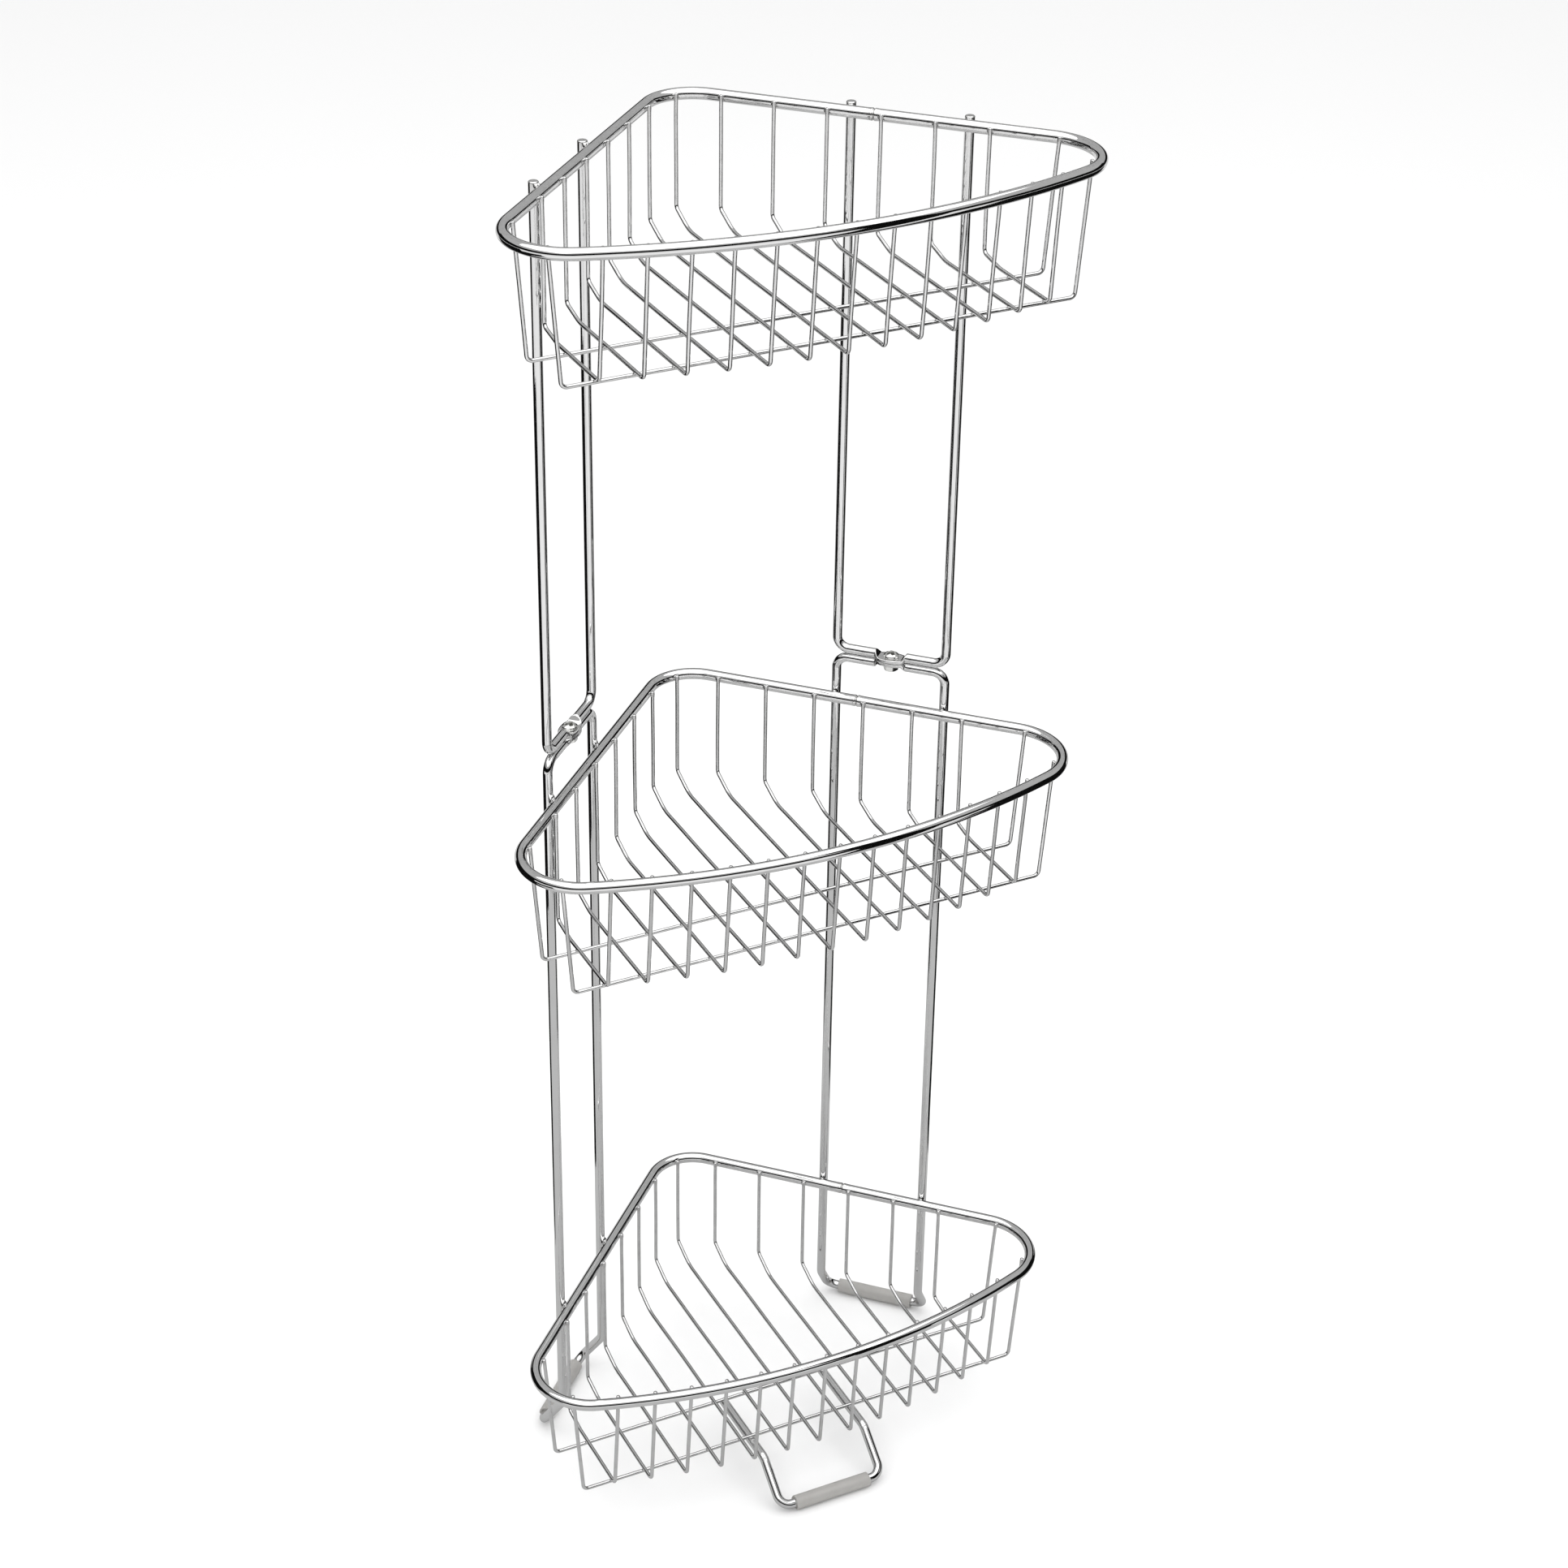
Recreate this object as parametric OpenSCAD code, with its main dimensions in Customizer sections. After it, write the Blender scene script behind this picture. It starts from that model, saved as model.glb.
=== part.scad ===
// Free-standing three-tier corner shower caddy of welded, chromed steel wire.
// Two upper frames carry the top basket, two lower frames carry the other two
// baskets, and a screw and nut through a flattened eye joins each pair of frames.
// +Z is up, +Y points into the corner of the room. The origin is on the floor,
// under the middle of the bounding box.

/* [Baskets] */
// Height of the bottom basket's rim above the floor
bottom_rim_height = 90; // [75:1:120]
// Height from one basket's rim to the next
tier_spacing = 318; // [260:1:360]
// From the sharp back corner to the middle of the bowed front, between rim centres
rim_depth = 208; // [195:1:240]
// Radius of the bowed front, to the rim's centre
front_bow_radius = 395; // [320:5:480]
// Radius of the rim's back corner
back_corner_radius = 24; // [16:1:30]
// Radius of the rim's two front corners
front_corner_radius = 30; // [22:1:34]
// Depth of a basket, from the rim's centre to the centre of the floor wires
basket_depth = 63; // [50:1:76]
// Distance between neighbouring floor wires
floor_wire_pitch = 19; // [15:0.5:20]
// Distance of the rear cross wire from the sharp back corner
rear_cross_setback = 143.5; // [120:0.5:150]
// Distance of the front cross wire from the sharp back corner
front_cross_setback = 177; // [165:0.5:181]
// How far a basket wire's end stands above the rim's centre
wire_end_height = 1.8; // [0:0.1:2.8]

/* [Wire sizes] */
// Diameter of the rim wire
rim_d = 6; // [5:0.5:8]
// Diameter of the frame wire and the front foot's wire
frame_d = 5; // [4:0.5:6]
// Diameter of the thin basket wires
basket_wire_d = 2; // [1.6:0.2:3]

/* [Frames] */
// Width of a frame, between the centres of its uprights
frame_width = 59; // [50:1:66]
// From the sharp back corner to the middle of a frame, along the wall
frame_setback = 123; // [100:0.5:128]
// Radius of the bends in the frames, to the wire's centre
frame_bend_radius = 6.5; // [5:0.5:9]
// Height of the joint between the frames above the middle basket's rim
joint_height = 24.5; // [18:0.5:60]
// How far the upper frames stand above the top rim's centre
upright_end_height = 3.5; // [3.5:0.5:12]

/* [Eyes, screws and nuts] */
// Width of the flattened eye
eye_w = 10.5; // [9.5:0.5:13]
// Length of the flattened eye, from tip to tip
eye_l = 19; // [16:1:22]
// Thickness of the flattened eye
eye_t = 2; // [1.6:0.1:2.2]
// Diameter of the hole in the eye
eye_hole_d = 4.3; // [4.2:0.1:4.6]
// Diameter of the screw's shank
screw_d = 3.9; // [3.5:0.1:4]
// Length of the screw under its head
screw_l = 8; // [8:1:16]
// Diameter of the screw's pan head
head_d = 8; // [7:0.5:9]
// Height of the screw's pan head
head_h = 2.6; // [2:0.2:3.2]
// Width of the nut across its flats
nut_w = 7; // [6.5:0.5:8]
// Height of the nut
nut_h = 3.2; // [2.4:0.2:3.6]

/* [Feet] */
// How far the lower frames kick out towards the walls
kick_out = 13.5; // [8:0.5:20]
// Height over which they kick out
kick_drop = 18.5; // [14:0.5:24]
// Width of the front foot, between the centres of its legs
front_foot_width = 61; // [58:1:68]
// Distance of the front foot's bend from the sharp back corner
front_foot_bend_setback = 192; // [186:0.5:198]
// How far the front foot reaches beyond that bend
front_foot_reach = 22; // [18:1:30]
// Outer diameter of the sleeves on the feet
sleeve_d = 8; // [7.5:0.5:10]
// Length of the sleeves
sleeve_l = 45; // [20:1:45]

/* [Hidden] */
// Number of floor wires in a basket and the middle one's number
floor_wires = 13;
middle_wire = 7;
tiers = ["bottom", "middle", "top"];
// How deep a welded wire bites into its neighbour
weld_bite = 0.15;
// Gap between the sleeves and their bars, and between the screw and its nut
running_gap = 0.05;
// Gap under the screw head and over the nut
seat_gap = 0.05;
// Half the gap between the round parts of the stacked frame bars
bar_gap = 0.1;
// A wire's bends are this much wider than its straights, which run this far into them
seam_step = 0.02;
seam_lap = 0.15;
// Bend radii of the thin wires: at the legs, and where the back slope meets the floor
leg_bend_radius = 3;
slope_bend_radius = 25;
// The back slope of a floor wire: its length, its height on the middle wire, and
// the share of that height lost at the outermost wire
slope_run = 15;
slope_rise = 7;
slope_fade = 0.6;
// How far the legs lean in from the rim down to the floor
back_lean = 0;
front_lean = 5.5;
cross_lean = 5;
// Bends that aren't in a frame's flat plane, and the chamfer on an upright's end
kick_bend_radius = 8;
end_chamfer = 0.8;
// How far the front foot's legs run on behind the rear cross wire
foot_tail = 3;
// How far a cutter runs past what it cuts
cut_past = 1;
// Cross recess of the screws
recess_w = 1.1;
recess_l = 4.2;
recess_depth = 1.6;
// The screw head's dome has this much more radius than one that starts at the seat,
// which leaves the head a short straight side, and the shank runs this far into it
dome_extra = 0.6;
shank_root = 0.5;
// How far the nut's corners are rounded off at its two faces, and the gap between
// those corners and the round blank that is left of the nut's middle
nut_rounding = 0.4;
nut_blank_gap = 0.1;
// Half the flat length of the eye and the length of the ramps at its ends
eye_flat = 6;
eye_ramp = 3.5;

rim_r = rim_d / 2;
frame_r = frame_d / 2;
thin_r = basket_wire_d / 2;
$fn = 48;

// The box's middle lies half-way between the rim's back and the front sleeve
back_most = rim_r - back_corner_radius * (sqrt(2) - 1);
front_most = -front_foot_bend_setback - front_foot_reach - sleeve_d / 2;
apex_y = -(back_most + front_most) / 2;
front_y = apex_y - rim_depth;

// The rim's arcs: the bow's centre, and the centre and end angle of a front corner,
// which touches the straight side and the bow from within
bow_y = front_y + front_bow_radius;
corner_sum = apex_y - sqrt(2) * front_corner_radius;
bow_gap = bow_y - corner_sum;
corner_reach = front_bow_radius - front_corner_radius;
corner_x = (sqrt(2 * corner_reach ^ 2 - bow_gap ^ 2) - bow_gap) / 2;
corner_y = corner_sum - corner_x;
corner_angle = atan2(corner_y - bow_y, corner_x);

// A leg stands this far inside the rim's centre line
leg_inset = rim_r + thin_r - weld_bite;
frame_inset = rim_r + frame_r - weld_bite;
cross_drop = basket_depth + 2 * thin_r - weld_bite;

foot_z = sleeve_d / 2;
joint_z = bottom_rim_height + tier_spacing + joint_height;
top_rim_height = bottom_rim_height + 2 * tier_spacing;
kick_angle = atan2(kick_out, kick_drop);
kick_cut = kick_bend_radius * tan(kick_angle / 2);
front_leg_z = bottom_rim_height - cross_drop - thin_r - frame_r + weld_bite;

function two_digits(n) = n < 10 ? str("0", n) : str(n);
function floor_name(t, n) = str(tiers[t], "_floor_wire_", two_digits(n));
function rim_name(t) = str(tiers[t], "_rim");
function cross_name(t, end) = str(tiers[t], "_", end, "_cross_wire");

function unit(v) = v / norm(v);
function turn(a, b, c) = let (d = unit(b - a), e = unit(c - b))
    atan2(d[0] * e[1] - d[1] * e[0], d * e);
function heading(a, b) = atan2(b[1] - a[1], b[0] - a[0]);

// Where a floor wire's back and front legs stand on the rim, at a given x
function back_leg_y(x) = let (r = back_corner_radius - leg_inset)
    abs(x) < r / sqrt(2)
        ? apex_y - sqrt(2) * back_corner_radius + sqrt(r ^ 2 - x ^ 2)
        : apex_y - sqrt(2) * leg_inset - abs(x);
function front_leg_y(x) = bow_y - sqrt((front_bow_radius - leg_inset) ^ 2 - x ^ 2);
// Where a cross wire's leg stands on the rim's right side or corner, at a given y
function side_leg_x(y) = let (r = front_corner_radius - leg_inset)
    y > corner_y + r / sqrt(2)
        ? apex_y - sqrt(2) * leg_inset - y
        : corner_x + sqrt(r ^ 2 - (y - corner_y) ^ 2);

// Wire along one arc in the XY plane
module bend(centre, radius, start, sweep, r) {
    translate(centre) rotate([0, 0, start])
        rotate_extrude(angle = sweep) translate([radius, 0])
            circle(r = r + seam_step, $fn = 24);
}

// Straight wire between two points of the XY plane
module straight(a, b, r) {
    translate(a) rotate([0, 90, heading(a, b)])
        cylinder(r = r, h = norm(b - a), $fn = 24);
}

// Wire along the points p in the XY plane, rounded at each inner point i with the
// radius bends[i]
module wire(p, bends, r) {
    last = len(p) - 1;
    cuts = [for (i = [0:last]) i == 0 || i == last ? 0
        : bends[i] * tan(abs(turn(p[i - 1], p[i], p[i + 1])) / 2)];
    ends = [for (i = [0:last]) cuts[i] - (i == 0 || i == last ? 0 : seam_lap)];
    for (i = [0:last - 1]) let (d = unit(p[i + 1] - p[i]))
        straight(p[i] + d * ends[i], p[i + 1] - d * ends[i + 1], r);
    for (i = [1:last - 1]) let (
        d = unit(p[i] - p[i - 1]),
        a = turn(p[i - 1], p[i], p[i + 1]),
        side = sign(a),
        centre = p[i] - d * cuts[i] + side * bends[i] * [-d[1], d[0]],
        start = heading([0, 0], d) - side * 90)
        bend(centre, bends[i], min(start, start + a), abs(a), r);
}

// Turn the XY plane upright: x stays, y becomes z; or x becomes y, and y becomes z
module upright_x() { rotate([90, 0, 0]) children(); }
module upright_y() { rotate([90, 0, 90]) children(); }

// The frame's place on the left (side 1) or right (side -1) wall: x runs along the
// wall from the frame's middle, y points out at the wall
module at_wall(side) {
    translate([0, apex_y, 0]) rotate([0, 0, side * 45])
        translate([-side * frame_setback, frame_inset, 0]) children();
}

module rim(z) {
    lap = seam_lap / sqrt(2);
    bow_lap = seam_lap / front_bow_radius * 180 / PI;
    color("silver") translate([0, 0, z]) {
        bend([0, apex_y - sqrt(2) * back_corner_radius], back_corner_radius, 45, 90, rim_r);
        for (side = [-1, 1]) {
            straight(
                [side * (back_corner_radius / sqrt(2) - lap),
                    apex_y - back_corner_radius / sqrt(2) + lap],
                [side * (corner_x + front_corner_radius / sqrt(2) + lap),
                    corner_y + front_corner_radius / sqrt(2) - lap], rim_r);
            bend([side * corner_x, corner_y], front_corner_radius,
                side > 0 ? corner_angle : 135, 45 - corner_angle, rim_r);
        }
        bend([0, bow_y], front_bow_radius, 180 - corner_angle - bow_lap,
            180 + 2 * (corner_angle + bow_lap), rim_r - seam_step);
    }
}

module floor_wire(z, n) {
    x = (n - middle_wire) * floor_wire_pitch;
    widest = (floor_wires - middle_wire) * floor_wire_pitch;
    rise = slope_rise * (1 - slope_fade * (x / widest) ^ 2);
    floor_z = z - basket_depth;
    back = back_leg_y(x);
    front = front_leg_y(x);
    end_share = wire_end_height / basket_depth;
    color("gainsboro") translate([x, 0, 0]) upright_y() wire([
        [back + back_lean * end_share, z + wire_end_height],
        [back - back_lean, floor_z + rise],
        [back - back_lean - slope_run, floor_z],
        [front + front_lean, floor_z],
        [front - front_lean * end_share, z + wire_end_height]],
        [0, leg_bend_radius, slope_bend_radius, leg_bend_radius, 0], thin_r);
}

module cross_wire(z, setback) {
    y = apex_y - setback;
    top_x = side_leg_x(y);
    end_share = wire_end_height / basket_depth;
    end_x = top_x + cross_lean * end_share;
    color("gainsboro") translate([0, y, 0]) upright_x() wire([
        [-end_x, z + wire_end_height], [-top_x + cross_lean, z - cross_drop],
        [top_x - cross_lean, z - cross_drop], [end_x, z + wire_end_height]],
        [0, leg_bend_radius, leg_bend_radius, 0], thin_r);
}

// The eye of the upper frame, in the frame's own place, with its flat face down on
// the joint's plane z = 0
module eye_plate() {
    lens_r = ((eye_w / 2) ^ 2 + (eye_l / 2) ^ 2) / eye_w;
    intersection_for (side = [-1, 1])
        translate([0, side * (lens_r - eye_w / 2), 0]) cylinder(r = lens_r, h = eye_t);
}

// What the stamping die takes off the round bar above that face
module eye_die() {
    upright_x() translate([0, 0, -frame_d])
        linear_extrude(2 * frame_d) polygon([
            [-eye_flat, eye_t], [eye_flat, eye_t],
            [eye_flat + eye_ramp, frame_d + cut_past],
            [-eye_flat - eye_ramp, frame_d + cut_past]]);
}

module eyed(flip) {
    difference() {
        union() {
            difference() {
                children();
                translate([0, 0, joint_z]) mirror([0, 0, flip]) eye_die();
            }
            translate([0, 0, joint_z]) mirror([0, 0, flip]) eye_plate();
        }
        translate([0, 0, joint_z - frame_d]) cylinder(d = eye_hole_d, h = 2 * frame_d);
    }
}

module upper_frame(side) {
    half = frame_width / 2;
    bar_z = joint_z + frame_r + bar_gap;
    top_z = top_rim_height + upright_end_height;
    color("silver") at_wall(side) eyed(0) {
        upright_x() wire([[-half, top_z - end_chamfer], [-half, bar_z],
            [half, bar_z], [half, top_z - end_chamfer]],
            [0, frame_bend_radius, frame_bend_radius, 0], frame_r);
        for (x = [-half, half]) translate([x, 0, top_z - end_chamfer - seam_lap])
            cylinder(r1 = frame_r - seam_step, r2 = frame_r - end_chamfer,
                h = end_chamfer + seam_lap, $fn = 24);
    }
}

// The part of a foot below its bend: two legs and the bar between them, drawn in
// the XY plane with the bend's sharp corners at y = 0 and the bar at y = -reach
module foot_loop(width, reach, cut) {
    half = width / 2;
    top = seam_lap - cut;
    wire([[-half, top], [-half, -reach], [half, -reach], [half, top]],
        [0, frame_bend_radius, frame_bend_radius, 0], frame_r);
}

module lower_frame(side) {
    half = frame_width / 2;
    bar_z = joint_z - frame_r - bar_gap;
    bend_z = foot_z + kick_drop;
    end_z = bend_z + kick_cut - seam_lap;
    color("silver") at_wall(side) eyed(1) {
        upright_x() wire([[-half, end_z], [-half, bar_z], [half, bar_z], [half, end_z]],
            [0, frame_bend_radius, frame_bend_radius, 0], frame_r);
        for (x = [-half, half]) translate([x, 0, 0]) upright_y()
            bend([kick_bend_radius, bend_z + kick_cut], kick_bend_radius, 180, kick_angle,
                frame_r);
        translate([0, 0, bend_z]) rotate([90 + kick_angle, 0, 0])
            foot_loop(frame_width, norm([kick_out, kick_drop]), kick_cut);
    }
}

module front_foot() {
    drop = front_leg_z - foot_z;
    angle = atan2(drop, front_foot_reach);
    cut = kick_bend_radius * tan(angle / 2);
    bend_y = apex_y - front_foot_bend_setback;
    back_y = apex_y - rear_cross_setback + foot_tail;
    color("silver") {
        for (x = [-1, 1] * front_foot_width / 2) translate([x, 0, 0]) upright_y() {
            straight([back_y, front_leg_z], [bend_y + cut - seam_lap, front_leg_z], frame_r);
            bend([bend_y + cut, front_leg_z - kick_bend_radius], kick_bend_radius, 90, angle,
                frame_r);
        }
        translate([0, bend_y, front_leg_z]) rotate([angle, 0, 0])
            foot_loop(front_foot_width, norm([front_foot_reach, drop]), cut);
    }
}

// Sleeve lying along x, with its middle at the origin
module sleeve() {
    color([0.83, 0.82, 0.79, 0.6]) rotate([0, 90, 0]) difference() {
        cylinder(d = sleeve_d, h = sleeve_l, center = true);
        cylinder(r = frame_r + running_gap, h = sleeve_l + 2 * cut_past, center = true);
    }
}

module wall_sleeve(side) {
    at_wall(side) translate([0, kick_out, foot_z]) sleeve();
}

module front_sleeve() {
    translate([0, apex_y - front_foot_bend_setback - front_foot_reach, foot_z]) sleeve();
}

module screw(side) {
    dome_r = (head_h ^ 2 + (head_d / 2) ^ 2) / (2 * head_h) + dome_extra;
    color("whitesmoke") at_wall(side) translate([0, 0, joint_z + eye_t + seat_gap]) {
        difference() {
            intersection() {
                cylinder(d = head_d, h = head_h);
                translate([0, 0, head_h - dome_r]) sphere(r = dome_r);
            }
            for (a = [0, 90]) rotate([0, 0, a])
                translate([-recess_l / 2, -recess_w / 2, head_h - recess_depth])
                    cube([recess_l, recess_w, head_h]);
        }
        translate([0, 0, -screw_l]) cylinder(d = screw_d, h = screw_l + shank_root);
    }
}

module nut(side) {
    corner_r = nut_w / sqrt(3);
    blank_r = corner_r + nut_blank_gap;
    color("whitesmoke") at_wall(side)
        translate([0, 0, joint_z - eye_t - seat_gap - nut_h]) difference() {
            intersection() {
                linear_extrude(nut_h) polygon([for (a = [0:60:300])
                    corner_r * [cos(a), sin(a)]]);
                union() {
                    cylinder(r1 = nut_w / 2, r2 = blank_r, h = nut_rounding);
                    translate([0, 0, nut_rounding])
                        cylinder(r = blank_r, h = nut_h - 2 * nut_rounding);
                    translate([0, 0, nut_h - nut_rounding])
                        cylinder(r1 = blank_r, r2 = nut_w / 2, h = nut_rounding);
                }
            }
            translate([0, 0, -cut_past])
                cylinder(r = screw_d / 2 + running_gap, h = nut_h + 2 * cut_past);
        }
}

for (t = [0:2]) let (z = bottom_rim_height + t * tier_spacing) {
    rim(z);
    for (n = [1:floor_wires])
        floor_wire(z, n);
    cross_wire(z, rear_cross_setback);
    cross_wire(z, front_cross_setback);
}
upper_frame(1);  // left_upper_frame
upper_frame(-1);  // right_upper_frame
lower_frame(1);  // left_lower_frame
lower_frame(-1);  // right_lower_frame
front_foot();
wall_sleeve(1);  // left_sleeve
wall_sleeve(-1);  // right_sleeve
front_sleeve();
screw(1);  // left_screw
screw(-1);  // right_screw
nut(1);  // left_nut
nut(-1);  // right_nut
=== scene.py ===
import math

import bpy
import numpy as np
from mathutils import Matrix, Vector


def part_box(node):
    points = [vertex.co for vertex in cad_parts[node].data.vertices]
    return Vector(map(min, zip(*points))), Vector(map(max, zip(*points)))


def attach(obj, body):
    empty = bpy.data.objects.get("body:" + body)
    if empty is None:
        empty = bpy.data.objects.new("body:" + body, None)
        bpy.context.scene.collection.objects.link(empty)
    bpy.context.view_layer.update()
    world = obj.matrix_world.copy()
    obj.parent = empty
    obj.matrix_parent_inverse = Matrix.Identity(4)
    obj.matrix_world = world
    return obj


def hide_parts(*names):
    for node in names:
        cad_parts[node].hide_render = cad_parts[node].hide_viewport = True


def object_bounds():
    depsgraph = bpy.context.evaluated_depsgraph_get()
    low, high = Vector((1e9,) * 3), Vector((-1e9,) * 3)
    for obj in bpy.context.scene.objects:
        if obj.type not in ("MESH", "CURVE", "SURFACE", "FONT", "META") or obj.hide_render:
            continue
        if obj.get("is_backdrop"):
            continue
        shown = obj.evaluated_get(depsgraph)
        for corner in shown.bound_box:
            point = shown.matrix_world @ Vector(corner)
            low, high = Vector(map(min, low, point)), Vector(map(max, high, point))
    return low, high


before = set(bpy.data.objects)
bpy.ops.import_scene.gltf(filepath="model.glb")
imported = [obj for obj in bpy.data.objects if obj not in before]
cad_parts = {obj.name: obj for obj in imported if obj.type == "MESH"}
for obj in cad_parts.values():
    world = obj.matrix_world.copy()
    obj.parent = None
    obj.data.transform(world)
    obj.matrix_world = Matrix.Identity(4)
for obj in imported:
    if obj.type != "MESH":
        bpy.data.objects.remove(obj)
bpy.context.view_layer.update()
print("frame loaded:", len(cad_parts), "CAD nodes")

tiers = ("bottom", "middle", "top")
random = np.random.default_rng(41)


def unit(v):
    v = np.asarray(v, float)
    return v / np.linalg.norm(v, axis=-1, keepdims=True)


def smooth(a, b, x):
    t = np.clip((x - a) / (b - a), 0, 1)  # 0 below a, 1 above b, an S curve between
    return t * t * (3 - 2 * t)


# A route: its points, its direction at each, and the length along it, which adds up the
# distances between the points.
def routeOf(points, headings):
    steps = np.linalg.norm(np.diff(points, axis=0), axis=1)
    return points, headings, np.concatenate([[0], np.cumsum(steps)])


# A route of straights and round bends. At each corner the bend is the circle of that
# corner's radius which touches both straights.
def bentRoute(corners, radii, closed=False, stepAngle=math.radians(4)):
    corners = np.asarray(corners, float)
    n = len(corners)
    points, headings = [], []
    for i in range(n):
        if not closed and i in (0, n - 1):
            way = unit(corners[1] - corners[0]) if i == 0 else unit(corners[-1] - corners[-2])
            points.append(corners[i][None])
            headings.append(way[None])
            continue
        here = corners[i]
        a, b = unit(here - corners[i - 1]), unit(corners[(i + 1) % n] - here)
        angle = math.acos(float(np.clip(a @ b, -1, 1)))
        inward = b - (b @ a) * a
        if angle > 1e-6:
            inward = unit(inward)
        r = radii[i]
        start = here - a * r * math.tan(angle / 2)
        t = np.linspace(0, angle, max(3, int(angle / stepAngle) + 2))[:, None]
        points.append(start + r * (inward * (1 - np.cos(t)) + a * np.sin(t)))
        headings.append(a * np.cos(t) + inward * np.sin(t))
    points, headings = np.vstack(points), np.vstack(headings)
    if closed:
        points, headings = np.vstack([points, points[:1]]), np.vstack([headings, headings[:1]])
    return routeOf(points, headings)


# Where along a route the rings go: at its own points, closer together at each listed
# place, and every so often on the long straights.
def samplesOf(along, places=(), reach=0.004, spacing=0.012, close=0.0004):
    rows = [along, np.arange(0, along[-1], spacing)]
    for place in places:
        rows.append(place + np.linspace(-reach, reach, int(2 * reach / close) + 1))
    s = np.unique(np.round(np.clip(np.concatenate(rows), 0, along[-1]), 6))
    keep = np.concatenate([[True], np.diff(s) > 2e-5])
    return s[keep]


# Adds rings to the samples at a wire's two rounded ends, closer together towards the
# tips, and gives the distance from the nearer tip as well.
def withTips(s, total, tipLength, count):
    ends = tipLength * (1 - np.cos(np.linspace(0, np.pi / 2, count)))
    s = np.unique(np.round(np.concatenate([s, ends, total - ends]), 7))
    s = s[np.concatenate([[True], np.diff(s) > 1e-5])]
    return s, np.minimum(s, total - s)


# The points and directions at the lengths s along a route
def pointsAt(route, s):
    points, headings, along = route
    p = np.stack([np.interp(s, along, points[:, k]) for k in range(3)], 1)
    t = unit(np.stack([np.interp(s, along, headings[:, k]) for k in range(3)], 1))
    return p, t


# A closed section carried along a route. Its two half-widths, its squareness and its
# offsets, up and across, may change along the way: the section is the curve
# |x/a|^n + |y/b|^n = 1, a circle where a = b and n = 2.
def carried(name, route, s, halfSide, halfUp, up, sides, square=2.0, lift=0.0,
            closed=False, marks=None, across=0.0):
    p, t = pointsAt(route, s)
    sideways = unit(np.cross(np.broadcast_to(up, t.shape), t))
    upward = np.cross(t, sideways)
    k = np.linspace(0, 2 * np.pi, sides, endpoint=False)
    power = 2 / np.broadcast_to(square, s.shape)[:, None]
    x = np.sign(np.cos(k)) * np.abs(np.cos(k)) ** power
    y = np.sign(np.sin(k)) * np.abs(np.sin(k)) ** power
    a = np.broadcast_to(halfSide, s.shape)[:, None]
    b = np.broadcast_to(halfUp, s.shape)[:, None]
    middle = (p + np.broadcast_to(lift, s.shape)[:, None] * upward
              + np.broadcast_to(across, s.shape)[:, None] * sideways)
    rings = (middle[:, None] + (a * x)[..., None] * sideways[:, None]
             + (b * y)[..., None] * upward[:, None])
    if closed:
        rings, marks = rings[:-1], (None if marks is None else marks[:-1])
    return gridPiece(name, rings, s, closed, marks)


# The four-sided faces between m rings of n points, and the ring and point each one
# starts at. On a closed loop the last ring joins the first.
def ringFaces(m, n, closed):
    i, j = np.meshgrid(np.arange(m if closed else m - 1), np.arange(n), indexing="ij")
    i2, j2 = (i + 1) % m, (j + 1) % n
    quads = np.stack([i * n + j, i * n + j2, i2 * n + j2, i2 * n + j], -1).reshape(-1, 4)
    return quads, i, j


# The triangles that close m rings of n points with a point at each end, given as the
# two points' numbers after the rings' own.
def endFaces(m, n):
    j = np.arange(n)
    first = np.stack([np.full(n, m * n), (j + 1) % n, j], -1)
    last = np.stack([np.full(n, m * n + 1), (m - 1) * n + j, (m - 1) * n + (j + 1) % n], -1)
    return first, last


# A grid of rings made into a closed mesh. Each ring joins the next one; the first and
# last rings are closed by a point in their middle, or by each other on a closed loop.
# The UV map is the share of the way round, and the length s along.
def gridPiece(name, rings, s, closed, marks=None):
    m, n = rings.shape[:2]
    quads, i, j = ringFaces(m, n, closed)
    u = np.stack([j, j + 1, j + 1, j], -1).reshape(-1, 4) / n
    v = np.stack([s[i], s[i], s[i + 1], s[i + 1]], -1).reshape(-1, 4)
    verts = rings.reshape(-1, 3)
    faces, uv = [quads.tolist()], [np.stack([u, v], -1).reshape(-1, 2)]
    values = np.zeros(m) if marks is None else np.asarray(marks, float)
    values = values.ravel() if values.ndim == 2 else np.repeat(values, n)
    if not closed:
        ends = np.stack([rings[0].mean(0), rings[-1].mean(0)])
        verts = np.vstack([verts, ends])
        values = np.append(values, [values[0], values[-1]])
        faces += [part.tolist() for part in endFaces(m, n)]
        for end in (s[0], s[-1]):
            uv.append(np.stack([np.repeat(np.arange(n) / n, 3), np.full(3 * n, end)], -1))
    return makePiece(name, verts, [f for part in faces for f in part], np.vstack(uv), values)


def makePiece(name, verts, faces, uv=None, marks=None):
    mesh = bpy.data.meshes.new(name)
    mesh.from_pydata(np.asarray(verts).tolist(), [], faces)
    if uv is not None:
        layer = mesh.uv_layers.new(name="alongWire")
        layer.data.foreach_set("uv", np.asarray(uv, np.float32).ravel())
    # the marks: worked metal, and painted shade at the welds and in the screw recesses
    if marks is not None:
        workedAndShade = mesh.attributes.new("workedAndShade", "FLOAT", "POINT")
        workedAndShade.data.foreach_set("value", np.asarray(marks, np.float32))
    mesh.polygons.foreach_set("use_smooth", np.ones(len(mesh.polygons), bool))
    mesh.update()
    piece = bpy.data.objects.new(name, mesh)
    bpy.context.scene.collection.objects.link(piece)
    return piece


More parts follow.
